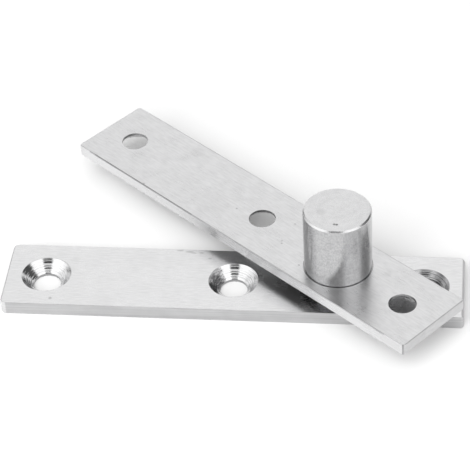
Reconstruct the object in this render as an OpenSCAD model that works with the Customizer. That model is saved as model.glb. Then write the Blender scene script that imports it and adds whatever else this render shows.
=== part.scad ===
// Pivot hinge for a swing door.
// A base leaf is screwed to the floor or the frame, and a door leaf is let into
// the edge of the door. The door leaf turns about a riveted shaft on a stack of
// ball bearings, which the upright barrel encloses; the barrel sits in a blind
// hole bored in the door.
// The origin is on the pivot axis at the underside of the base leaf. The base
// leaf's long arm points along -X and the barrel stands up along +Z.

/* [Leaves] */
// Length of each leaf
leaf_l = 130; // [115:1:200]
// Width of each leaf
leaf_w = 25; // [24:0.5:40]
// Thickness of the base leaf
base_t = 4; // [3.5:0.1:6]
// Thickness of the door leaf
door_t = 3.5; // [3:0.1:6]
// Open gap between the leaves
leaf_gap = 3.6; // [3.4:0.1:8]
// Distance from the pivot axis to the short end of each leaf
pivot_setback = 35.3; // [32:0.1:40]
// Angle from the base leaf to the door leaf as modelled
rest_angle = -39.5; // [-180:0.5:180]
// Corner radius of the leaves seen from above
corner_r = 1; // [0.5:0.1:4]
// Rounding along the long edges of the leaves
edge_r = 0.3; // [0.1:0.05:0.8]
// Rounding across the ends of the leaves
end_r = 0.5; // [0.1:0.05:1.2]

/* [Screw holes] */
// Diameter of the screw holes
hole_d = 7.7; // [4:0.1:8]
// Distance from the end of a leaf to its outer screw hole
hole_end = 11.35; // [9:0.05:14]
// Straight land left below each countersink
hole_land = 0.8; // [0.3:0.1:2]
// Full angle of the countersinks
sink_angle = 90; // [82:1:100]

/* [Barrel] */
// Wall of the barrel round the bearings
barrel_wall = 1.5; // [1.2:0.1:2]
// Height of the barrel above the door leaf
barrel_h = 20; // [18:0.5:40]
// Chamfer round the top of the barrel
barrel_chamfer = 0.45; // [0.1:0.05:1]
// Thickness of the closed top of the barrel
roof_t = 3.2; // [1.5:0.1:4]
// Extra radius of the press land that holds the barrel in the door leaf
land_step = 0.2; // [0.05:0.05:0.4]
// Width of the rim that carries the door leaf
rim_w = 1.5; // [1:0.1:1.5]
// Thickness of the rim that carries the door leaf
rim_t = 1.2; // [0.8:0.1:1.4]
// Running gap between the rim and the shaft's flange
rim_gap = 1.2; // [0.6:0.1:1.4]

/* [Shaft] */
// Diameter of the shaft
shaft_d = 8; // [7.2:0.1:9]
// Depth of the riveted foot in the base leaf
rivet_depth = 1.5; // [0.8:0.1:2.5]
// Distance of the foot's face above the underside of the base leaf
rivet_inset = 0.1; // [0.05:0.05:0.3]
// Length of shaft above the retaining ring
shaft_end = 0.8; // [0.5:0.1:1.2]

/* [Radial bearings] */
// Radial section of the bearings, from the shaft to the barrel
bearing_section = 4; // [3.6:0.1:4.6]
// Wall of the outer spacers
spacer_wall = 0.9; // [0.6:0.1:1]
// Width of each radial bearing
bearing_w = 5; // [4:0.1:5.5]
// Diameter of the balls in a radial bearing
ball_d = 2; // [1.6:0.1:2.2]
// Number of balls in a radial bearing
ball_count = 9; // [6:1:11]
// Thickness of a crown cage below its ball pockets
cage_web = 0.5; // [0.3:0.1:0.6]

/* [Thrust bearing] */
// Thickness of each thrust washer
thrust_washer_t = 1.5; // [1.2:0.1:2]
// Space between the thrust washers
thrust_space = 2; // [1.8:0.1:2.1]
// Diameter of the thrust balls
thrust_ball_d = 2.4; // [2.3:0.1:2.6]
// Number of thrust balls
thrust_ball_count = 9; // [6:1:11]
// Thickness of the shim between the thrust bearing and the lower bearing
shim_t = 0.5; // [0.3:0.1:1]
// Wall of the sleeve inside the thrust bearing
sleeve_wall = 0.5; // [0.3:0.1:0.6]

/* [Retaining ring] */
// Thickness of the retaining ring
clip_t = 0.8; // [0.6:0.1:1]
// Depth of the ring's groove in the shaft
groove_depth = 0.2; // [0.15:0.05:0.4]
// Radial width of the ring
clip_w = 1.4; // [1.2:0.1:1.6]
// Half of the ring's open angle
clip_gap_angle = 20; // [12:1:30]
// Diameter of the ring's lugs
lug_d = 2.4; // [1.8:0.1:2.6]
// Diameter of the plier holes in the lugs
plier_hole_d = 1; // [0.6:0.1:1.2]

/* [Clearances] */
// Radial clearance of parts seated in or on one another
seat_clear = 0.02; // [0.01:0.01:0.05]
// Clearance between balls and raceways
race_clear = 0.02; // [0.01:0.01:0.05]
// Clearance of balls in their cage pockets
pocket_clear = 0.05; // [0.03:0.01:0.1]
// Clearance between parts that turn past one another
run_clear = 0.15; // [0.1:0.05:0.2]

/* [Hidden] */
$fn = 96;
overcut = 1;

// Levels along the pivot axis, from the base leaf up
door_z = base_t + leaf_gap;
door_top = door_z + door_t;
barrel_top = door_top + barrel_h;
mouth_z = door_z - rim_t;
flange_top = mouth_z - rim_gap;
thrust_h = 2 * thrust_washer_t + thrust_space;
thrust_top = flange_top + thrust_h;
lower_z = thrust_top + shim_t;
shaft_top_gap = 0.6;
clip_relief = clip_t + shaft_end + shaft_top_gap;
roof_z = barrel_top - roof_t;
crown_z = roof_z - clip_relief;
upper_z = crown_z - bearing_w;
thrust_ball_z = flange_top + thrust_h / 2;
lower_ball_z = lower_z + bearing_w / 2;
upper_ball_z = upper_z + bearing_w / 2;
shaft_top = crown_z + clip_t + shaft_end;

// Radii about the pivot axis
shaft_r = shaft_d / 2;
bore_r = shaft_r + bearing_section;
barrel_r = bore_r + barrel_wall;
land_r = barrel_r + land_step;
rim_r = barrel_r + rim_w;
pitch_r = shaft_r + bearing_section / 2;
shoulder = 0.4 * ball_d;
cage_half_w = 0.28 * ball_d;
column_r = bore_r - spacer_wall;
washer_r = bore_r - run_clear;
sleeve_r = shaft_r + sleeve_wall;
groove_r = shaft_r - groove_depth;
entry_chamfer = 0.3;
ring_chamfer = 0.2;
thin_chamfer = 0.1;

// Screw places along a leaf: one near each end and one in the middle
leaf_mid = pivot_setback - leaf_l / 2;
hole_pitch = leaf_l / 2 - hole_end;
screw_x = [leaf_mid - hole_pitch, leaf_mid, leaf_mid + hole_pitch];

function numbered(name, count) = [for (i = [1:count]) str(name, "_", i)];

// Rectangle with round corners, centred
module rounded_rect(w, h, r) {
    square([w - 2 * r, h], center = true);
    square([w, h - 2 * r], center = true);
    for (x = [-1, 1], y = [-1, 1])
        translate([x * (w / 2 - r), y * (h / 2 - r)]) circle(r = r);
}

// Flat bar of thickness t, cropped to length and deburred on every edge
module flat_bar(t) {
    translate([leaf_mid, 0, t / 2])
        intersection() {
            linear_extrude(t + overcut, center = true)
                rounded_rect(leaf_l, leaf_w, corner_r);
            rotate([90, 0, 90])
                linear_extrude(leaf_l + overcut, center = true)
                    rounded_rect(leaf_w, t, edge_r);
            rotate([90, 0, 0])
                linear_extrude(leaf_w + overcut, center = true)
                    rounded_rect(leaf_l, t, end_r);
        }
}

// Screw hole through a leaf of thickness t, countersunk from the top face
module screw_hole(t) {
    cone_h = t - hole_land + overcut;
    translate([0, 0, -overcut]) cylinder(h = t + 2 * overcut, d = hole_d);
    translate([0, 0, hole_land])
        cylinder(h = cone_h, d1 = hole_d, d2 = hole_d + 2 * cone_h * tan(sink_angle / 2));
}

// Plain ring about the pivot axis with its edges broken
module ring(r_in, r_out, z, h, chamfer = ring_chamfer) {
    rotate_extrude() ring_section(r_in, r_out, z, h, chamfer);
}

module ring_section(r_in, r_out, z, h, c) {
    polygon([
        [r_in + c, z], [r_out - c, z], [r_out, z + c], [r_out, z + h - c],
        [r_out - c, z + h], [r_in + c, z + h], [r_in, z + h - c], [r_in, z + c]
    ]);
}

// Ring with a raceway for balls of diameter d whose centres lie at height ball_z
module race(r_in, r_out, z, h, d, ball_z) {
    rotate_extrude()
        difference() {
            ring_section(r_in, r_out, z, h, ring_chamfer);
            translate([pitch_r, ball_z]) circle(d = d + 2 * race_clear);
        }
}

// Ball number i of count, on the pitch circle
module ball(i, count, d, z) {
    color("gainsboro")
        rotate(i * 360 / count) translate([pitch_r, 0, z]) sphere(d = d);
}

// Snap-in crown cage: pockets open upwards and still hold the balls
module crown_cage(z) {
    pocket_r = ball_d / 2 + pocket_clear;
    foot = pocket_r + cage_web;
    color("goldenrod")
        difference() {
            ring(pitch_r - cage_half_w, pitch_r + cage_half_w, z - foot, foot + ball_d / 4,
                 thin_chamfer);
            for (i = [1:ball_count])
                rotate(i * 360 / ball_count) translate([pitch_r, 0, z])
                    rotate([0, 90, 0]) cylinder(r = pocket_r, h = ball_d, center = true);
        }
}

// Inner and outer rings of a radial bearing whose lower face is at z
module inner_ring(z) {
    color("silver")
        race(shaft_r + seat_clear, pitch_r - shoulder, z, bearing_w, ball_d, z + bearing_w / 2);
}

module outer_ring(z) {
    color("silver")
        race(pitch_r + shoulder, bore_r - seat_clear, z, bearing_w, ball_d, z + bearing_w / 2);
}

// Leaf screwed down through three countersunk holes; the shaft is riveted in it
module base_leaf() {
    tail_r = shaft_r + seat_clear;
    color("lightgray")
        difference() {
            flat_bar(base_t);
            for (x = screw_x)
                translate([x, 0, 0]) screw_hole(base_t);
            translate([0, 0, -overcut]) cylinder(h = base_t + 2 * overcut, r = tail_r);
            translate([0, 0, -overcut])
                cylinder(h = rivet_depth + overcut, r1 = tail_r + rivet_depth + overcut, r2 = tail_r);
        }
}

// Leaf let into the door, countersunk from beneath; the barrel is pressed into it
module door_leaf() {
    color("gainsboro")
        rotate(rest_angle)
            difference() {
                translate([0, 0, door_z]) flat_bar(door_t);
                for (x = screw_x)
                    translate([x, 0, door_top]) rotate([180, 0, 0]) screw_hole(door_t);
                translate([0, 0, door_z - overcut])
                    cylinder(h = door_t + 2 * overcut, r = land_r + seat_clear);
            }
}

// Turned cup that houses the bearings; its rim carries the door leaf and its
// crown step stands on the upper outer ring
module pivot_barrel() {
    color("silver")
        rotate_extrude()
            polygon([
                [bore_r + entry_chamfer, mouth_z], [rim_r, mouth_z],
                [rim_r, door_z], [land_r, door_z],
                [land_r, door_top], [barrel_r, door_top],
                [barrel_r, barrel_top - barrel_chamfer], [barrel_r - barrel_chamfer, barrel_top],
                [0, barrel_top], [0, roof_z],
                [column_r, roof_z], [column_r, crown_z],
                [bore_r, crown_z], [bore_r, mouth_z + entry_chamfer]
            ]);
}

// Turned shaft with a flange on the base leaf, a riveted foot beneath it and a
// groove for the retaining ring at the top
module pivot_shaft() {
    groove_w = clip_t + 2 * seat_clear;
    groove_z = crown_z - seat_clear;
    color("darkgray")
        rotate_extrude()
            polygon([
                [0, rivet_inset], [shaft_r + rivet_depth - rivet_inset, rivet_inset],
                [shaft_r, rivet_depth], [shaft_r, base_t],
                [washer_r, base_t], [washer_r, flange_top],
                [shaft_r, flange_top], [shaft_r, groove_z],
                [groove_r, groove_z], [groove_r, groove_z + groove_w],
                [shaft_r, groove_z + groove_w], [shaft_r, shaft_top - entry_chamfer],
                [shaft_r - entry_chamfer, shaft_top], [0, shaft_top]
            ]);
}

// External snap ring with plier holes in its lugs
module retaining_ring() {
    clip_r = groove_r + clip_w;
    lug_angle = clip_gap_angle + asin(lug_d / 2 / clip_r);
    color("dimgray")
        translate([0, 0, crown_z])
            linear_extrude(clip_t)
                difference() {
                    union() {
                        circle(r = clip_r);
                        at_lugs(lug_angle, clip_r) circle(d = lug_d);
                    }
                    circle(r = groove_r + seat_clear);
                    polygon([[0, 0], bore_r * [cos(clip_gap_angle), sin(clip_gap_angle)],
                             bore_r * [cos(clip_gap_angle), -sin(clip_gap_angle)]]);
                    at_lugs(lug_angle, clip_r) circle(d = plier_hole_d);
                }
}

module at_lugs(angle, r) {
    for (side = [-1, 1])
        rotate(side * angle) translate([r, 0]) children();
}

// Thrust washer that rests on the shaft's flange
module thrust_shaft_washer() {
    color("silver")
        race(shaft_r + seat_clear, washer_r, flange_top, thrust_washer_t, thrust_ball_d, thrust_ball_z);
}

// Thrust washer that turns with the barrel
module thrust_housing_washer() {
    color("silver")
        race(sleeve_r + 2 * run_clear, bore_r - seat_clear, thrust_top - thrust_washer_t,
             thrust_washer_t, thrust_ball_d, thrust_ball_z);
}

// Flat cage between the thrust washers
module thrust_cage() {
    cage_t = thrust_space / 2;
    color("goldenrod")
        difference() {
            ring(sleeve_r + run_clear, washer_r - run_clear, thrust_ball_z - cage_t / 2, cage_t,
                 thin_chamfer);
            for (i = [1:thrust_ball_count])
                rotate(i * 360 / thrust_ball_count) translate([pitch_r, 0, thrust_ball_z])
                    cylinder(d = thrust_ball_d + 2 * pocket_clear, h = thrust_space, center = true);
        }
}

// Sleeve on the shaft that carries the lower inner ring clear of the thrust balls
module thrust_sleeve() {
    color("darkgray")
        ring(shaft_r + seat_clear, sleeve_r, flange_top + thrust_washer_t,
             thrust_washer_t + thrust_space + shim_t, thin_chamfer);
}

// Shim that passes the load from the lower outer ring to the housing washer
module bearing_shim() {
    color("darkgray")
        ring(column_r, bore_r - seat_clear, thrust_top, shim_t, thin_chamfer);
}

// Spacers that hold the radial bearings apart
module inner_spacer() {
    color("darkgray")
        ring(shaft_r + seat_clear, pitch_r - shoulder, lower_z + bearing_w,
             upper_z - lower_z - bearing_w);
}

module outer_spacer() {
    color("darkgray")
        ring(column_r, bore_r - seat_clear, lower_z + bearing_w,
             upper_z - lower_z - bearing_w);
}

base_leaf();
door_leaf();
pivot_barrel();
pivot_shaft();
retaining_ring();
thrust_shaft_washer();
thrust_housing_washer();
thrust_cage();
thrust_sleeve();
bearing_shim();
inner_ring(lower_z);  // lower_inner_ring
outer_ring(lower_z);  // lower_outer_ring
crown_cage(lower_ball_z);  // lower_cage
inner_spacer();
outer_spacer();
inner_ring(upper_z);  // upper_inner_ring
outer_ring(upper_z);  // upper_outer_ring
crown_cage(upper_ball_z);  // upper_cage
for (i = [1:thrust_ball_count])
    ball(i, thrust_ball_count, thrust_ball_d, thrust_ball_z);
for (i = [1:ball_count]) {
    ball(i, ball_count, ball_d, lower_ball_z);
    ball(i, ball_count, ball_d, upper_ball_z);
}
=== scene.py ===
import bpy
import numpy as np
from mathutils import Matrix


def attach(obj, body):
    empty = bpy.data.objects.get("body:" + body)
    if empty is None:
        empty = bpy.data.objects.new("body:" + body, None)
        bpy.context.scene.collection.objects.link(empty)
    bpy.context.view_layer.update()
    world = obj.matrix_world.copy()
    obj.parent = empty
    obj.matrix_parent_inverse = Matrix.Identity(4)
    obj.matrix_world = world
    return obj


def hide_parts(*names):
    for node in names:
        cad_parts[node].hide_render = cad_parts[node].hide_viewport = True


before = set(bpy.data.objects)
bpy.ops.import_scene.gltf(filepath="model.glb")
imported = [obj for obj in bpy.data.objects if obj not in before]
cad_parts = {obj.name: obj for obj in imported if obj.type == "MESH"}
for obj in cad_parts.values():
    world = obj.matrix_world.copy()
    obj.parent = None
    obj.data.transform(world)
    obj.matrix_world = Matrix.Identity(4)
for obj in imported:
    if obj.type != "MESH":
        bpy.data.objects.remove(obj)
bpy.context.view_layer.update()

# ---------------------------------------------------------------------------
# Camera. A long lens looks down on the hinge from the front, a little from the
# right, and leans slightly, so that both leaves run across the frame.
# ---------------------------------------------------------------------------
MM = 0.001
lens_seat = np.array([32.731, -446.969, 407.992]) * MM
lens_right = (0.99424577, 0.09721014, -0.0450059)
lens_up = (-0.02946372, 0.65208622, 0.75757207)
lens_back = (0.10299141, -0.75188679, 0.65119814)


def aimed(right, up, back, seat):
    """Where a camera or a lamp stands: the columns are its right, its up, its back, its seat."""
    return Matrix([*np.column_stack([right, up, back, seat]).tolist(), (0.0, 0.0, 0.0, 1.0)])


lens = bpy.data.cameras.new("hinge_camera")
lens.lens = 164.188
lens.sensor_width = 36.0
lens.clip_start = 0.01
lens.clip_end = 20.0
camera = bpy.data.objects.new("hinge_camera", lens)
camera.matrix_world = aimed(lens_right, lens_up, lens_back, lens_seat)
bpy.context.scene.collection.objects.link(camera)
bpy.context.scene.camera = camera

# ---------------------------------------------------------------------------
# Base leaf. A 130 by 25 by 4 mm flat of ground steel, screwed down through three
# holes that are countersunk from above. It is cropped from bar, ground along its
# length and lightly deburred; the countersinks are cut with a turning tool.
# ---------------------------------------------------------------------------
base_thick = 4.0
leaf_near = 35.3          # pivot axis to the short end
leaf_far = -94.7          # pivot axis to the long end
leaf_half_w = 12.5
base_corners = (1.6, 1.6, 1.6, 1.0)   # near back, far back, far front, near front
base_edge_round = 0.15    # along the long sides
base_near_round = 0.75    # across the top of the short end, where it was dressed by hand
end_round = 0.3           # across the other ends
arc_points = 6            # points on each rounded edge
corner_points = 9         # points round each corner, seen from above
outline_step = 0.75       # spacing of the points along a straight side
screw_places = (-83.35, -29.7, 23.95)
screw_hole_r = 3.85
hole_land = 0.8           # straight wall left beyond a countersink
rim_break = 0.06          # rounding of a hole's rim
rim_lip = 0.15            # flat that joins a rim to the face
rivet_bore_r = 4.02
rivet_depth = 1.5
leaf_cuts = (-56.525, -14.85, 13.5)   # where the mesh is divided, between the holes
cut_points = 33           # points across each of those cuts
side_grain_start = 40.0   # sets the sides' grain apart from that of the faces
weld_per_mm = 1e4         # steps to the millimetre; places that round to one are welded
square_on = 0.8           # a side faces an axis when its normal goes this far along it
past_flat = 0.02          # a side has begun to turn a corner when its normal leans this far
dulled_from = -85.0       # where the dull upper edge of the long sides starts

# The finishes of a leaf, in the order that its materials are listed
FACE, SINK, SIDE, UNDERSIDE, WALL, DULL_ARRIS_AND_PAINTED_REFLECTION, CORNER_PAINTED_HIGHLIGHT, CHATTERED_PAINTED_SHADE = range(8)


def bar_outline(corners):
    """Outline of the bar from above, anticlockwise, as places and outward normals.

    The sides are straight and each corner is a quarter circle of its own radius:
    place = centre + r (cos t, sin t) and normal = (cos t, sin t).
    """
    ends = np.array([leaf_near, leaf_half_w, -leaf_far, leaf_half_w])
    stops = (np.array([]), np.array(leaf_cuts)) * 2
    bend = np.radians(np.linspace(0, 90, corner_points))[1:-1]
    places, normals = [], []
    for side in range(4):
        t = np.radians(90.0 * side)
        out = np.array([np.cos(t), np.sin(t)]).round(9)
        way = np.array([-out[1], out[0]])
        hand = way.sum()
        start = -ends[side - 1] + corners[side - 1]
        finish = ends[(side + 1) % 4] - corners[side]
        marks = np.concatenate([[start], np.sort(stops[side] * hand), [finish]])
        counts = np.maximum(2, np.round(np.diff(marks) / outline_step).astype(int))
        along = np.unique(np.concatenate([
            np.linspace(a, b, n + 1)
            for a, b, n in zip(marks[:-1], marks[1:], counts)]).round(6))
        straight = ends[side] * out + along[:, None] * way
        turn = t + bend
        ring = np.stack([np.cos(turn), np.sin(turn)], 1)
        centre = straight[-1] - corners[side] * out
        places += [straight, centre + corners[side] * ring]
        normals += [np.tile(out, (len(straight), 1)), ring]
    return np.concatenate(places), np.concatenate(normals)


def rounded_profile(points, radii):
    """A section drawn through corner points, each corner a true arc of its own radius.

    At a corner with turning angle a the arc starts r tan(a/2) before it. Each arc point is
    centre + r (normal), and the section's normal is that of the arc or of the straight.
    Gives places and normals, the normals on the right hand of the way the section runs.
    """
    points = np.asarray(points, float)
    ways = np.diff(points, axis=0)
    ways /= np.linalg.norm(ways, axis=1)[:, None]
    right = np.stack([ways[:, 1], -ways[:, 0]], 1)
    places, normals = [points[0]], [right[0]]
    for k in range(1, len(points) - 1):
        a, b = ways[k - 1], ways[k]
        turn = np.arctan2(a[0] * b[1] - a[1] * b[0], a @ b)
        r = radii[k - 1]
        if r > 0 and abs(turn) > 1e-6:
            back = r * np.tan(abs(turn) / 2)
            t = np.linspace(0, 1, arc_points) * turn
            rot = np.stack([np.cos(t), np.sin(t)], 1)
            n = np.stack([right[k - 1][0] * rot[:, 0] - right[k - 1][1] * rot[:, 1],
                          right[k - 1][0] * rot[:, 1] + right[k - 1][1] * rot[:, 0]], 1)
            hand = np.sign(turn)
            centre = points[k] - a * back - hand * r * right[k - 1]
            places.extend(centre + hand * r * n)
            normals.extend(n)
        else:
            places.extend([points[k], points[k]])
            normals.extend([right[k - 1], right[k]])
    places.append(points[-1])
    normals.append(right[-1])
    return np.array(places), np.array(normals)


def swept_ring(centre_x, angles, section, normals, finish):
    """A turned surface: section (r, z) carried round a vertical axis.

    place = (x + r cos t, r sin t, z), normal = (n_r cos t, n_r sin t, n_z). The grain runs
    round the axis: its first coordinate is mean r times t, its second the distance down
    the section.
    """
    c, s = np.cos(angles)[None, :], np.sin(angles)[None, :]
    r, z = section[:, :1], section[:, 1:]
    flat = np.ones_like(c)
    place = np.stack([centre_x + r * c, r * s, z * flat], -1)
    normal = np.stack([normals[:, :1] * c, normals[:, :1] * s, normals[:, 1:] * flat], -1)
    steps = np.linalg.norm(np.diff(section, axis=0), axis=1)
    down = np.concatenate([[0], np.cumsum(steps)])
    grain = np.stack([max(r.mean(), 1.0) * angles[None, :] * np.ones_like(r),
                      down[:, None] * flat], -1)
    return place, normal, grain, finish


def closed_skin(name, patches, turn_deg=0.0):
    """One closed mesh from patches whose edges meet.

    A patch is a grid of places with a normal and a grain coordinate at each, and the number
    of its finish, or one for each cell. Every cell gives two triangles. Places that agree
    to a ten-thousandth of a millimetre become one vertex, and a triangle that loses a side
    that way is dropped. The whole is then turned about the pivot axis:
    x' = x cos a - y sin a, y' = x sin a + y cos a.
    """
    places, normals, grains, corners, finishes = [], [], [], [], []
    start = 0
    for place, normal, grain, finish in patches:
        rows, cols = place.shape[:2]
        i, j = np.meshgrid(np.arange(rows - 1), np.arange(cols - 1), indexing="ij")
        a = (start + i * cols + j).ravel()
        cell = np.stack([a, a + 1, a + cols + 1, a + cols], 1)
        tris = np.concatenate([cell[:, [0, 1, 2]], cell[:, [0, 2, 3]]])
        corners.append(tris)
        finishes.append(np.tile(np.broadcast_to(finish, (rows - 1, cols - 1)).ravel(), 2))
        places.append(place.reshape(-1, 3))
        normals.append(normal.reshape(-1, 3))
        grains.append(grain.reshape(-1, 2))
        start += rows * cols
    places, normals, grains = map(np.concatenate, (places, normals, grains))
    corners, finishes = np.concatenate(corners), np.concatenate(finishes)
    _, first, same = np.unique(np.round(places * weld_per_mm).astype(np.int64), axis=0,
                               return_index=True, return_inverse=True)
    same = same.reshape(-1)
    welded = same[corners]
    whole = ((welded[:, 0] != welded[:, 1]) & (welded[:, 1] != welded[:, 2])
             & (welded[:, 2] != welded[:, 0]))
    corners, welded, finishes = corners[whole], welded[whole], finishes[whole]
    a = np.radians(turn_deg)
    spin = np.array([[np.cos(a), np.sin(a), 0], [-np.sin(a), np.cos(a), 0], [0, 0, 1]])
    mesh = bpy.data.meshes.new(name)
    mesh.vertices.add(len(first))
    mesh.vertices.foreach_set("co", (places[first] @ spin * MM).ravel())
    mesh.loops.add(corners.size)
    mesh.loops.foreach_set("vertex_index", welded.ravel())
    mesh.polygons.add(len(corners))
    mesh.polygons.foreach_set("loop_start", np.arange(len(corners)) * 3)
    mesh.polygons.foreach_set("material_index", finishes)
    mesh.polygons.foreach_set("use_smooth", np.ones(len(corners), bool))
    mesh.update(calc_edges=True)
    grain_map = mesh.uv_layers.new(name="grain")
    grain_map.data.foreach_set("uv", grains[corners.ravel()].ravel())
    turned = normals[corners.ravel()] @ spin
    turned /= np.linalg.norm(turned, axis=1)[:, None]
    mesh.normals_split_custom_set(turned.tolist())
    piece = bpy.data.objects.new(name, mesh)
    bpy.context.scene.collection.objects.link(piece)
    return piece


def drilled_bar(low, high, holes, corners, edge_round, near_round, side_finish):
    """Patches of a flat bar between two heights, with one turned hole in each of four cells.

    The bar is cut across between the holes. In each cell, rays from the hole's axis carry
    the rim of the hole to the outline of the cell, so both faces are ruled surfaces:
    place = rim (1 - s) + outline s. The sides carry a quarter round, a straight and a
    quarter round along the outline, and each round widens across the ends:
    radius = edge + (end - edge) nx^2. side_finish gives the finish of the sides from the
    place along the bar, the outward normal and whether it is the upper round.
    """
    places, normals = bar_outline(corners)
    end = np.where(normals[:, 0] > 0, near_round, end_round)
    upper = edge_round + (end - edge_round) * normals[:, 0] ** 2
    lower = edge_round + (end_round - edge_round) * normals[:, 0] ** 2
    patches = []
    edges = np.array([leaf_far - 1, *leaf_cuts, leaf_near + 1])
    across = np.linspace(-1, 1, cut_points)[1:-1] * (leaf_half_w - edge_round)
    for left, right, (x, section, section_normals, finish) in zip(edges[:-1], edges[1:], holes):
        held = (places[:, 0] >= left - 1e-6) & (places[:, 0] <= right + 1e-6)
        cuts = [np.stack([np.full(len(across), cut), across], 1)
                for cut in (left, right) if leaf_far < cut < leaf_near]
        outer, top, bottom = (
            np.concatenate([(places - inset[:, None] * normals)[held], *cuts])
            for inset in (0 * upper, upper, lower))
        angle = np.arctan2(outer[:, 1], outer[:, 0] - x)
        order = np.argsort(angle)
        order = np.append(order, order[0])
        angle = angle[order]
        angle[-1] += 2 * np.pi
        for height, r, ring, way in ((high, section[0, 0], top[order], 1),
                                     (low, section[-1, 0], bottom[order], -1)):
            rim = np.stack([x + r * np.cos(angle), r * np.sin(angle)], 1)
            pair = np.stack([ring, rim] if way > 0 else [rim, ring])
            place = np.concatenate([pair, np.full((*pair.shape[:2], 1), height)], -1)
            normal = np.broadcast_to(np.array([0.0, 0.0, way]), place.shape)
            patches.append((place, normal, pair, FACE if way > 0 else UNDERSIDE))
        patches.append(swept_ring(x, angle, section, section_normals, finish))
    t = np.radians(np.linspace(-90, 0, arc_points))
    arc = np.concatenate([np.stack([np.cos(t), np.sin(t)], 1),
                          np.stack([np.cos(t[::-1]), -np.sin(t[::-1])], 1)])
    face_z = np.repeat([low, high], arc_points)[:, None]
    hand = np.repeat([1.0, -1.0], arc_points)[:, None]
    loop = np.concatenate([places, places[:1]])
    out = np.concatenate([normals, normals[:1]])
    size = np.repeat([lower, upper], arc_points, axis=0)
    size = np.concatenate([size, size[:, :1]], 1)
    reach = size * (arc[:, :1] - 1)
    flat = loop[None] + reach[..., None] * out[None]
    height = face_z + size * (hand + arc[:, 1:])
    rise = np.broadcast_to(arc[:, 1:, None], (len(arc), len(loop), 1))
    normal = np.concatenate([arc[:, :1, None] * out[None], rise], -1)
    run = np.concatenate([[0], np.cumsum(np.linalg.norm(np.diff(loop, axis=0), axis=1))])
    grain = np.stack([np.broadcast_to(run, height.shape), height + side_grain_start], -1)
    middle = (loop[:-1] + loop[1:]) / 2
    facing = (out[:-1] + out[1:]) / 2
    is_upper = np.arange(len(arc) - 1)[:, None] >= arc_points
    worn = side_finish(middle[None, :, 0], facing[None], is_upper)
    patches.append((np.concatenate([flat, height[..., None]], -1), normal, grain, worn))
    return patches


def hole_section(*points):
    """Section of a hole from its upper rim to its lower one, with normals towards the axis.

    A short flat joins it to each face of the bar, and every edge is broken by a small arc.
    The third part is the finish of each step: upright walls are drilled, with a dark grey that is
    painted shade inside the hole, and the rest is turned.
    """
    (top_r, top_z), (low_r, low_z) = points[0], points[-1]
    section, normals = rounded_profile(
        [(top_r + rim_lip, top_z), *points, (low_r + rim_lip, low_z)],
        [rim_break] * len(points))
    upright = np.abs(normals[:, 1]) < 0.5
    return section, normals, np.where(upright[:-1] & upright[1:], WALL, SINK)[:, None]


def fitting(tree, kind, inputs=None, **settings):
    """One shader node, with its settings and with its sockets given a number or a link."""
    made = tree.nodes.new(kind)
    for key, value in settings.items():
        setattr(made, key, value)
    for key, value in (inputs or {}).items():
        if isinstance(value, bpy.types.NodeSocket):
            tree.links.new(value, made.inputs[key])
        else:
            made.inputs[key].default_value = value
    return made


def reckon(tree, operation, *values):
    """The result of one step of arithmetic."""
    return fitting(tree, "ShaderNodeMath", dict(enumerate(values)),
                   operation=operation).outputs["Value"]


def reckon_way(tree, operation, *values):
    """The result of one step of vector arithmetic, a number for a length or a dot product."""
    step = fitting(tree, "ShaderNodeVectorMath", dict(enumerate(values)), operation=operation)
    return step.outputs["Value" if operation in ("LENGTH", "DOT_PRODUCT") else "Vector"]


def blend(tree, share, first, second):
    """Two colours mixed: first (1 - share) + second share."""
    return fitting(tree, "ShaderNodeMix", {0: share, 6: first, 7: second},
                   data_type="RGBA").outputs[2]


def spread(tree, value, low, high, start=0.3, end=0.7):
    """Value between start and end, spread evenly from low to high and held beyond."""
    return fitting(tree, "ShaderNodeMapRange", {
        "Value": value, "From Min": start, "From Max": end, "To Min": low, "To Max": high,
    }).outputs["Result"]


def eased(tree, value, low, high, start, end):
    """As spread, but along a smoothstep: low + (high - low) t^2 (3 - 2t).

    Here t is how far value has come from start to end.
    """
    return fitting(tree, "ShaderNodeMapRange", {
        "Value": value, "From Min": start, "From Max": end, "To Min": low, "To Max": high,
    }, interpolation_type="SMOOTHSTEP").outputs["Result"]


def streaks(tree, along, across, detail, rough=0.6, seed=0.0):
    """Noise drawn out along the grain, its scale set apart along and across, per millimetre."""
    grain = fitting(tree, "ShaderNodeUVMap", uv_map="grain").outputs["UV"]
    stretch = fitting(tree, "ShaderNodeMapping", {
        "Vector": grain, "Scale": (along, across, 1.0), "Location": (seed, seed * 1.7, seed)})
    return fitting(tree, "ShaderNodeTexNoise", {
        "Vector": stretch.outputs["Vector"], "Scale": 1.0, "Detail": detail,
        "Roughness": rough}).outputs["Fac"]


def blotches(tree, size_mm):
    """Soft uneven patches of about the given size, fixed to the piece."""
    place = fitting(tree, "ShaderNodeTexCoord").outputs["Object"]
    return fitting(tree, "ShaderNodeTexNoise", {
        "Vector": place, "Scale": 1.0 / (size_mm * MM), "Detail": 3.0, "Roughness": 0.55,
    }).outputs["Fac"]


speck_core = 0.25         # the share of a speck's radius that is wholly dark
speck_black = (0.05, 0.05, 0.05, 1.0)


def speck(tree, place_mm, radius_mm, drawn_out=(1.0, 1.0, 1.0)):
    """One in a small mark's core and nought outside it, with a smoothstep between them.

    The distance is measured with each axis divided by drawn_out, which makes a dash of it.
    """
    place = fitting(tree, "ShaderNodeTexCoord").outputs["Object"]
    away = reckon_way(tree, "SUBTRACT", place, tuple(c * MM for c in place_mm))
    far = reckon_way(tree, "LENGTH", reckon_way(tree, "DIVIDE", away, drawn_out))
    return eased(tree, far, 1.0, 0.0, speck_core * radius_mm * MM, radius_mm * MM)


def blank_material(name):
    """A new material with an empty tree."""
    made = bpy.data.materials.new(name)
    made.use_nodes = True
    made.node_tree.nodes.clear()
    return made, made.node_tree


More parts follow.
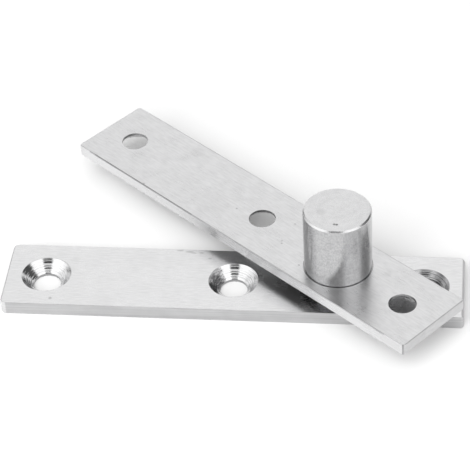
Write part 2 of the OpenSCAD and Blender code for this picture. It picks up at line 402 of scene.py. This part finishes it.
def steel_grey(level):
    """The grey of bare steel, very slightly blue."""
    return level, level, level + 0.005, 1.0


def steel(name, light, dark, smooth, rough, groove, lines, fine, blotch_mm, draw, marks=()):
    """Bare steel with a grain: its grey and roughness follow the streaks and blotches.

    light and dark bound the grey, smooth and rough the roughness. lines and fine are the
    (along, across) scales of the broad and the fine streaks, groove is the depth of the
    broad ones in millimetres, and draw is how far reflections are drawn out across the
    grain. The tone is broad streaks + 0.6 blotches, and the roughness fine streaks +
    blotches. marks are small dark specks as (place, radius, strength), and where they are
    dashes, how far they are drawn out.
    """
    made, tree = blank_material(name)
    broad = streaks(tree, *lines, detail=3.0)
    thin = streaks(tree, *fine, detail=4.0, rough=0.7, seed=3.1)
    patchy = blotches(tree, blotch_mm)
    tone = spread(tree, reckon(tree, "MULTIPLY_ADD", patchy, 0.6, broad), 0.0, 1.0, 0.6, 1.0)
    colour = blend(tree, tone, steel_grey(dark), steel_grey(light))
    for place, radius, strength, *drawn_out in marks:
        held = reckon(tree, "MULTIPLY", speck(tree, place, radius, *drawn_out), strength)
        colour = blend(tree, held, colour, speck_black)
    roughness = spread(tree, reckon(tree, "ADD", thin, patchy), smooth, rough, 0.7, 1.3)
    relief = streaks(tree, *lines, detail=1.5, rough=0.4)
    bump = fitting(tree, "ShaderNodeBump", {
        "Strength": 1.0, "Distance": groove * MM, "Height": relief}).outputs["Normal"]
    along = fitting(tree, "ShaderNodeTangent", direction_type="UV_MAP",
                    uv_map="grain").outputs["Tangent"]
    shine = fitting(tree, "ShaderNodeBsdfPrincipled", {
        "Base Color": colour, "Metallic": 1.0, "Roughness": roughness, "Normal": bump,
        "Anisotropic": draw, "Anisotropic Rotation": 0.25, "Tangent": along})
    fitting(tree, "ShaderNodeOutputMaterial", {"Surface": shine.outputs["BSDF"]})
    return made


ground_steel = steel("ground_steel", light=0.83, dark=0.75,
                     smooth=0.21, rough=0.29, groove=0.0018, lines=(0.32, 2.1),
                     fine=(0.6, 6.0), blotch_mm=6.0, draw=0.25,
                     marks=(((-80.66, -9.94, base_thick), 0.75, 0.3),
                            ((-46.2, 11.9, base_thick), 0.4, 0.3, (4.0, 1.0, 1.0)),
                            ((-43.4, 11.5, base_thick), 0.6, 0.3, (3.2, 1.0, 1.0)),
                            ((-42.2, 11.0, base_thick), 0.35, 0.25, (3.5, 1.0, 1.0)),
                            ((-39.9, 11.2, base_thick), 0.35, 0.35, (3.0, 1.0, 1.0)),
                            ((-37.3, 8.9, base_thick), 0.45, 0.3, (1.8, 1.0, 1.0)),
                            ((-76.0, 6.6, base_thick), 2.2, 0.05)))
turned_cone = steel("turned_cone", light=0.90, dark=0.60,
                    smooth=0.07, rough=0.15, groove=0.12, lines=(0.006, 2.2),
                    fine=(0.02, 3.5), blotch_mm=3.0, draw=0.0)
# Hole walls: drilled, with a dark grey that is painted shade inside the holes.
drilled_wall_painted_shade = steel("drilled_wall_painted_shade", light=0.42, dark=0.30,
                     smooth=0.25, rough=0.4, groove=0.02, lines=(0.02, 3.0),
                     fine=(0.1, 6.0), blotch_mm=2.0, draw=0.0)
cropped_edge = steel("cropped_edge", light=0.59, dark=0.46,
                     smooth=0.28, rough=0.42, groove=0.006, lines=(0.02, 2.2),
                     fine=(0.1, 6.0), blotch_mm=9.0, draw=0.4)
# Undersides: a drawn mill finish, with a dark grey that is painted shade beneath the leaves.
drawn_face_painted_shade = steel("drawn_face_painted_shade", light=0.38, dark=0.29,
                   smooth=0.36, rough=0.5, groove=0.004, lines=(0.02, 0.9),
                   fine=(0.1, 4.0), blotch_mm=12.0, draw=0.3)
rubbed_arris = steel("rubbed_arris", light=0.66, dark=0.50,
                     smooth=0.3, rough=0.45, groove=0.004, lines=(0.05, 2.0),
                     fine=(0.3, 6.0), blotch_mm=6.0, draw=0.2)
# The base leaf's far front corner: a lighter grey that is a painted highlight.
rubbed_corner_painted_highlight = steel("rubbed_corner_painted_highlight", light=0.76, dark=0.67,
                      smooth=0.22, rough=0.33, groove=0.002, lines=(0.05, 2.0),
                      fine=(0.3, 6.0), blotch_mm=4.0, draw=0.2)
# The countersink at the near end: chatter rings from a worn tool, and a darker grey that is
# painted shade from the door leaf over it.
chattered_cone_painted_shade = steel("chattered_cone_painted_shade", light=0.66, dark=0.34,
                       smooth=0.13, rough=0.24, groove=0.32, lines=(0.004, 1.9),
                       fine=(0.02, 4.5), blotch_mm=3.0, draw=0.0)
leaf_finishes = (ground_steel, turned_cone, cropped_edge, drawn_face_painted_shade, drilled_wall_painted_shade,
                 rubbed_arris, rubbed_corner_painted_highlight, chattered_cone_painted_shade)


def base_sides(along, facing, is_upper):
    """Cropped sides, brighter round the far front corner as a painted highlight, and darker along
    the top.
    """
    corner = (facing[..., 0] < -past_flat) & (facing[..., 1] < -past_flat)
    dulled = is_upper & (np.abs(facing[..., 1]) > square_on) & (along > dulled_from)
    return np.where(corner, CORNER_PAINTED_HIGHLIGHT, np.where(dulled, DULL_ARRIS_AND_PAINTED_REFLECTION, SIDE))


sink_r = screw_hole_r + base_thick - hole_land
countersunk_above = hole_section(
    (sink_r, base_thick), (screw_hole_r, hole_land), (screw_hole_r, 0.0))
rivet_seat = hole_section(
    (rivet_bore_r, base_thick), (rivet_bore_r, rivet_depth), (rivet_bore_r + rivet_depth, 0.0))
sink_shape, sink_normals, sink_finish = countersunk_above
# The near countersink gets the chattered finish, whose dark grey is painted shade.
chattered_sink_painted_shade = (sink_shape, sink_normals,
                  np.where(sink_finish == SINK, CHATTERED_PAINTED_SHADE, sink_finish))
base_holes = [(screw_places[0], *countersunk_above), (screw_places[1], *countersunk_above),
              (0.0, *rivet_seat), (screw_places[2], *chattered_sink_painted_shade)]
base_leaf = closed_skin("base_leaf_ground", drilled_bar(
    0.0, base_thick, base_holes, base_corners, base_edge_round, base_near_round, base_sides))
for finish in leaf_finishes:
    base_leaf.data.materials.append(finish)
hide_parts("base_leaf")
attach(base_leaf, "base")

# ---------------------------------------------------------------------------
# Door leaf. The same bar, 3.5 mm thick, let into the edge of the door and screwed
# from beneath, so its countersinks face down. The barrel is pressed through the
# large hole. It stands 39.5 degrees round from the base leaf.
# ---------------------------------------------------------------------------
door_thick = 3.5
door_low = 7.6
door_high = door_low + door_thick
door_turn = -39.5
door_corners = (0.5, 1.0, 1.0, 1.0)   # near back, far back, far front, near front
door_edge_round = 0.3
barrel_land_r = 9.7       # the barrel where it is pressed through the leaf
press_gap = 0.02
dark_reflection_run = (-88.0, -46.0)     # the darkest part of the long upper edges, painted dark as a reflection
brushed_run = (-90.0, 28.0)   # the brushed part, which goes on at both ends of it, painted a darker grey as a reflection
cornerwise = 0.55             # a side is round the corner when its normal goes this far both ways

# The door leaf's own finishes, in the places of the base leaf's last two
SAWN_END, BRUSHED_ARRIS_PAINTED_REFLECTION = CORNER_PAINTED_HIGHLIGHT, CHATTERED_PAINTED_SHADE

door_sink_r = screw_hole_r + door_thick - hole_land
countersunk_below = hole_section(
    (screw_hole_r, door_high), (screw_hole_r, door_high - hole_land), (door_sink_r, door_low))
barrel_bore = hole_section(
    (barrel_land_r + press_gap, door_high), (barrel_land_r + press_gap, door_low))
door_holes = [(screw_places[0], *countersunk_below), (screw_places[1], *countersunk_below),
              (0.0, *barrel_bore), (screw_places[2], *countersunk_below)]


def on_door(along, across, height=door_high):
    """A place on the door leaf, turned with it: (u cos a - v sin a, u sin a + v cos a)."""
    a = np.radians(door_turn)
    return (float(along * np.cos(a) - across * np.sin(a)),
            float(along * np.sin(a) + across * np.cos(a)), height)


door_steel = steel("door_leaf_steel", light=0.785, dark=0.67,
                   smooth=0.26, rough=0.35, groove=0.0009, lines=(0.28, 1.9),
                   fine=(0.8, 5.0), blotch_mm=4.0, draw=0.2,
                   marks=((on_door(-38.3, -1.8), 0.45, 0.35), (on_door(-21.0, 4.5), 0.5, 0.25),
                          (on_door(-18.7, -3.3), 0.45, 0.3), (on_door(-18.0, -4.1), 0.45, 0.35),
                          (on_door(-8.0, -7.5), 0.45, 0.4), (on_door(-66.7, -12.0), 0.5, 0.4),
                          (on_door(-65.2, 8.6), 3.0, 0.07), (on_door(-45.5, -5.5), 6.0, 0.05),
                          (on_door(13.0, 6.2), 1.6, 0.1), (on_door(-78.0, -4.0), 4.0, 0.04),
                          ((-48.03, 23.4, 7.7), 0.5, 0.5)))


def door_sides(along, facing, is_upper):
    """Sheared sides and sawn ends; the upper edge is brushed and painted darker as a reflection,
    darkest towards the far end.

    A painted dark line also runs down the near front corner, where shearing and sawing meet.
    """
    sawn = np.abs(facing[..., 0]) > square_on
    meeting = (facing[..., 0] > cornerwise) & (facing[..., 1] < -cornerwise)
    long_top = is_upper & (np.abs(facing[..., 1]) > square_on)
    # dull and brushed mark where the upper edge carries its painted dark reflection.
    dull = meeting | (long_top & (along > dark_reflection_run[0]) & (along < dark_reflection_run[1]))
    brushed = long_top & (along > brushed_run[0]) & (along < brushed_run[1])
    return np.select([sawn, dull, brushed], [SAWN_END, DULL_ARRIS_AND_PAINTED_REFLECTION, BRUSHED_ARRIS_PAINTED_REFLECTION], SIDE)


door_leaf = closed_skin("door_leaf_ground", drilled_bar(
    door_low, door_high, door_holes, door_corners, door_edge_round, end_round, door_sides),
    door_turn)
sheared_edge = steel("sheared_edge", light=0.75, dark=0.66,
                     smooth=0.22, rough=0.34, groove=0.004, lines=(0.02, 2.2),
                     fine=(0.1, 6.0), blotch_mm=9.0, draw=0.4)
# The darkest part of the door leaf's upper edges and its near front corner line: a dark grey that
# is a painted reflection.
dulled_arris_painted_reflection = steel("dulled_arris_painted_reflection", light=0.40, dark=0.28,
                     smooth=0.3, rough=0.45, groove=0.004, lines=(0.05, 2.0),
                     fine=(0.3, 6.0), blotch_mm=6.0, draw=0.2)
sawn_end = steel("sawn_end", light=0.62, dark=0.50,
                 smooth=0.26, rough=0.4, groove=0.005, lines=(0.5, 2.6),
                 fine=(0.4, 6.0), blotch_mm=5.0, draw=0.3)
# The rest of the door leaf's brushed upper edges, painted a darker grey as a reflection.
brushed_arris_painted_reflection = steel("brushed_arris_painted_reflection", light=0.56, dark=0.42,
                      smooth=0.3, rough=0.45, groove=0.004, lines=(0.05, 2.0),
                      fine=(0.3, 6.0), blotch_mm=6.0, draw=0.2)
for finish in (door_steel, turned_cone, sheared_edge, drawn_face_painted_shade, drilled_wall_painted_shade, dulled_arris_painted_reflection,
               sawn_end, brushed_arris_painted_reflection):
    door_leaf.data.materials.append(finish)
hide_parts("door_leaf")
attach(door_leaf, "door")

# ---------------------------------------------------------------------------
# Barrel. A cup turned from 19 mm steel bar that stands mouth down over the shaft
# and the bearings. A rim beneath carries the door leaf, and the closed top has a
# small chamfer and a tiny pit left by the parting tool.
# ---------------------------------------------------------------------------
barrel_r = 9.5
barrel_bore_r = 8.0
barrel_rim_r = 11.0
mouth_z = 6.4
mouth_chamfer = 0.3
barrel_top = 31.1
barrel_chamfer = 0.45
crown_z = 25.7
roof_z = 27.9
crown_r = 7.1
land_top = door_high - 0.25   # the fine dark line round the foot of the barrel
inner_break = 0.1             # rounding of the edges inside
foot_break = 0.08             # rounding of the rim beneath
top_break = 0.12              # rounding of the chamfer's two edges
faced_depth = 0.2             # how far the facing tool reaches down beyond the chamfer
turn_points = 193             # points round the barrel

barrel_section, barrel_normals = rounded_profile(
    [(0.0, roof_z), (crown_r, roof_z), (crown_r, crown_z), (barrel_bore_r, crown_z),
     (barrel_bore_r, mouth_z + mouth_chamfer), (barrel_bore_r + mouth_chamfer, mouth_z),
     (barrel_rim_r, mouth_z), (barrel_rim_r, door_low), (barrel_land_r, door_low),
     (barrel_land_r, land_top), (barrel_r, land_top), (barrel_r, barrel_top - barrel_chamfer),
     (barrel_r - barrel_chamfer, barrel_top), (0.0, barrel_top)],
    [inner_break] * 5 + [foot_break] * 2 + [0.0] * 3 + [top_break] * 2)
full_turn = np.radians(np.linspace(0, 360, turn_points))
faced_from = barrel_top - barrel_chamfer - faced_depth
faced = (barrel_section[:-1, 1] > faced_from).astype(int)[:, None]
barrel = closed_skin("barrel_turned", [
    swept_ring(0.0, full_turn, barrel_section, barrel_normals, faced)])
turned_steel = steel("turned_steel", light=0.57, dark=0.40,
                     smooth=0.15, rough=0.26, groove=0.008, lines=(3.0, 1.6),
                     fine=(1.6, 1.2), blotch_mm=1.3, draw=0.4)
faced_steel = steel("faced_steel", light=0.76, dark=0.68,
                    smooth=0.22, rough=0.32, groove=0.002, lines=(0.3, 0.6),
                    fine=(1.0, 1.6), blotch_mm=4.0, draw=0.1,
                    marks=(((-0.42, -6.2, barrel_top), 0.55, 0.7),
                           ((0.28, -6.3, barrel_top), 0.55, 0.8),
                           ((-4.4, -1.0, barrel_top), 1.9, 0.12)))
for finish in (turned_steel, faced_steel):
    barrel.data.materials.append(finish)
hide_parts("pivot_barrel")
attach(barrel, "door")

# ---------------------------------------------------------------------------
# Shaft and snap ring. The shaft is turned from silver steel and riveted into the base
# leaf; its flange carries the thrust bearing. The snap ring is blued spring steel,
# sprung into a groove over the upper inner ring.
# ---------------------------------------------------------------------------


def turned_part(name, light, dark, smooth, rough, groove, ring_mm, blotch_mm):
    """Metal finished on a lathe or a grinder: its rings follow radius and height.

    The noise is read at (sqrt(x^2 + y^2), z), so every mark runs round the pivot axis.
    """
    made, tree = blank_material(name)
    place = fitting(tree, "ShaderNodeTexCoord").outputs["Object"]
    height = fitting(tree, "ShaderNodeSeparateXYZ", {"Vector": place}).outputs["Z"]
    radius = reckon_way(tree, "LENGTH", reckon_way(tree, "MULTIPLY", place, (1.0, 1.0, 0.0)))
    rings = fitting(tree, "ShaderNodeCombineXYZ", {"X": radius, "Y": height}).outputs["Vector"]
    turned = fitting(tree, "ShaderNodeTexNoise", {
        "Vector": rings, "Scale": 1.0 / (ring_mm * MM), "Detail": 4.0, "Roughness": 0.7,
    }).outputs["Fac"]
    patchy = blotches(tree, blotch_mm)
    colour = blend(tree, spread(tree, patchy, 0.0, 1.0), (*dark, 1.0), (*light, 1.0))
    bump = fitting(tree, "ShaderNodeBump", {
        "Strength": 1.0, "Distance": groove * MM, "Height": turned}).outputs["Normal"]
    shine = fitting(tree, "ShaderNodeBsdfPrincipled", {
        "Base Color": colour, "Metallic": 1.0, "Normal": bump,
        "Roughness": spread(tree, turned, smooth, rough)})
    fitting(tree, "ShaderNodeOutputMaterial", {"Surface": shine.outputs["BSDF"]})
    return made


def finish_nodes(material, *nodes):
    """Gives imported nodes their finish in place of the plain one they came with."""
    for node in nodes:
        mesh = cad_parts[node].data
        mesh.materials.clear()
        mesh.materials.append(material)


finish_nodes(turned_part("silver_steel", light=(0.64, 0.64, 0.65), dark=(0.54, 0.54, 0.55),
                         smooth=0.2, rough=0.34, groove=0.004, ring_mm=0.3, blotch_mm=4.0),
             "pivot_shaft")
finish_nodes(turned_part("blued_spring_steel", light=(0.11, 0.12, 0.15), dark=(0.05, 0.055, 0.07),
                         smooth=0.3, rough=0.45, groove=0.002, ring_mm=0.8, blotch_mm=1.5),
             "retaining_ring")

# ---------------------------------------------------------------------------
# Ball bearings. Two radial bearings and a thrust bearing with ground and hardened
# rings and washers, held apart by plain turned spacers, a sleeve and a shim.
# ---------------------------------------------------------------------------
finish_nodes(turned_part("hardened_ring_steel", light=(0.66, 0.67, 0.69), dark=(0.60, 0.61, 0.63),
                         smooth=0.08, rough=0.16, groove=0.001, ring_mm=0.15, blotch_mm=3.0),
             "lower_inner_ring", "lower_outer_ring", "upper_inner_ring", "upper_outer_ring",
             "thrust_shaft_washer", "thrust_housing_washer")
finish_nodes(turned_part("spacer_steel", light=(0.60, 0.60, 0.60), dark=(0.50, 0.50, 0.50),
                         smooth=0.28, rough=0.42, groove=0.005, ring_mm=0.35, blotch_mm=3.0),
             "inner_spacer", "outer_spacer", "thrust_sleeve", "bearing_shim")

# ---------------------------------------------------------------------------
# Cages. Pressed and machined brass that keeps the balls apart and turns with them at
# about half the speed of the door leaf. The brass is dulled by grease.
# ---------------------------------------------------------------------------
finish_nodes(turned_part("greased_brass", light=(0.78, 0.60, 0.28), dark=(0.62, 0.45, 0.19),
                         smooth=0.22, rough=0.38, groove=0.004, ring_mm=0.25, blotch_mm=1.8),
             "thrust_cage", "lower_cage", "upper_cage")

# ---------------------------------------------------------------------------
# Balls. Polished chrome steel, nine in each bearing, with a thin film of grease that
# dulls them in patches.
# ---------------------------------------------------------------------------
finish_nodes(turned_part("polished_ball_steel", light=(0.84, 0.85, 0.87), dark=(0.76, 0.77, 0.79),
                         smooth=0.04, rough=0.12, groove=0.0003, ring_mm=0.6, blotch_mm=0.9),
             *(f"{bearing}_ball_{number}"
               for bearing in ("thrust", "lower", "upper") for number in range(1, 10)))

# ---------------------------------------------------------------------------
# Studio. A plain pale table in a pale room that is darker in two doorways, a window and
# two bands over the front, under a dimmer ceiling. Two large soft lights, one overhead
# and one in front, light the table and do not show in the steel.
# ---------------------------------------------------------------------------
table_half = 3.0
table_z = -2e-5           # a hair beneath the base leaf, so that no faces coincide
table_mesh = bpy.data.meshes.new("table")
table_mesh.from_pydata(
    [(x * table_half, y * table_half, table_z) for x, y in ((-1, -1), (1, -1), (1, 1), (-1, 1))],
    [], [(0, 1, 2, 3)])
table = bpy.data.objects.new("table", table_mesh)
bpy.context.scene.collection.objects.link(table)
paper, paper_tree = blank_material("table_paper")
paper_tone = blend(paper_tree, spread(paper_tree, blotches(paper_tree, 60.0), 0.0, 1.0),
                   (0.575, 0.575, 0.575, 1.0), (0.595, 0.595, 0.595, 1.0))
paper_face = fitting(paper_tree, "ShaderNodeBsdfPrincipled", {
    "Base Color": paper_tone, "Roughness": 0.9, "Specular IOR Level": 0.0,
    "Emission Color": (1.0, 1.0, 1.0, 1.0), "Emission Strength": 0.09})
fitting(paper_tree, "ShaderNodeOutputMaterial", {"Surface": paper_face.outputs["BSDF"]})
table_mesh.materials.append(paper)

room = bpy.data.worlds.new("pale_room")
bpy.context.scene.world = room
room.use_nodes = True
sky = room.node_tree
sky.nodes.clear()
gaze = fitting(sky, "ShaderNodeTexCoord").outputs["Generated"]
lift = fitting(sky, "ShaderNodeSeparateXYZ", {"Vector": gaze}).outputs["Z"]

# Each opening's azimuth, half width, lower and upper edge and softness in degrees, and the
# share of the light that is left inside it
openings = ((-90, 75, -40, 16, 10, 0.7),    # low band over the front
            (21, 25, 6, 46, 6, 0.09),       # doorway on the right
            (116, 60, -30, 12, 6, 0.15),    # doorway at the back
            (148, 29, 36, 60, 6, 0.35),     # high window at the back left
            (-93, 25, 34, 60, 6, 0.04))     # high band over the front


def opening(azimuth, width, low, high, soft, dim):
    """How much of the room's light stays in a direction: 1 away from an opening, dim in it.

    The opening spans azimuth +- width and low to high in height, in degrees. Across it the
    light falls as a smoothstep of the cosine between the level direction and the
    opening's, and up and down as a smoothstep of the direction's height.
    """
    a = np.radians(azimuth)
    level = reckon_way(sky, "NORMALIZE", reckon_way(sky, "MULTIPLY", gaze, (1.0, 1.0, 0.0)))
    facing = reckon_way(sky, "DOT_PRODUCT", level, (float(np.cos(a)), float(np.sin(a)), 0.0))
    inner, outer = (float(c) for c in np.cos(np.radians([max(width - soft, 0.5), width + soft])))
    h = [float(v) for v in np.sin(np.radians([low - soft, low + soft, high - soft, high + soft]))]
    upright = reckon(sky, "MULTIPLY", eased(sky, lift, 0.0, 1.0, h[0], h[1]),
                     eased(sky, lift, 1.0, 0.0, h[2], h[3]))
    inside = reckon(sky, "MULTIPLY", upright, eased(sky, facing, 0.0, 1.0, outer, inner))
    return spread(sky, inside, 1.0, dim, 0.0, 1.0)


forward = reckon_way(sky, "DOT_PRODUCT", gaze, (0.0, -1.0, 0.0))
room_light = eased(sky, forward, 1.0, 1.4, -0.3, 0.4)
ceiling = eased(sky, lift, 1.0, 0.78, 0.82, 0.96)
for shade in (ceiling, *(opening(*sizes) for sizes in openings)):
    room_light = reckon(sky, "MULTIPLY", room_light, shade)
room_glow = fitting(sky, "ShaderNodeBackground", {
    "Color": (1.0, 1.0, 1.0, 1.0), "Strength": room_light}).outputs["Background"]
fitting(sky, "ShaderNodeOutputWorld", {"Surface": room_glow})


def hang_light(name, size, energy, drop):
    """A square soft light at a place, facing the hinge, that glossy steel does not mirror."""
    light = bpy.data.lights.new(name, "AREA")
    light.shape = "SQUARE"
    light.size = size
    light.energy = energy
    seat = bpy.data.objects.new(name, light)
    seat.visible_glossy = False
    back = np.array(drop) / np.linalg.norm(drop)
    right = np.cross([0.0, 1.0, 0.0] if abs(back[2]) > 0.9 else [0.0, 0.0, 1.0], back)
    right /= np.linalg.norm(right)
    up = np.cross(back, right)
    seat.matrix_world = aimed(right, up, back, drop)
    bpy.context.scene.collection.objects.link(seat)


hang_light("overhead_softbox", 0.8, 1.2, (0.0, 0.05, 1.1))
hang_light("front_softbox", 1.2, 22.0, (-0.25, -0.85, 0.80))

bpy.context.scene.view_settings.view_transform = "Standard"
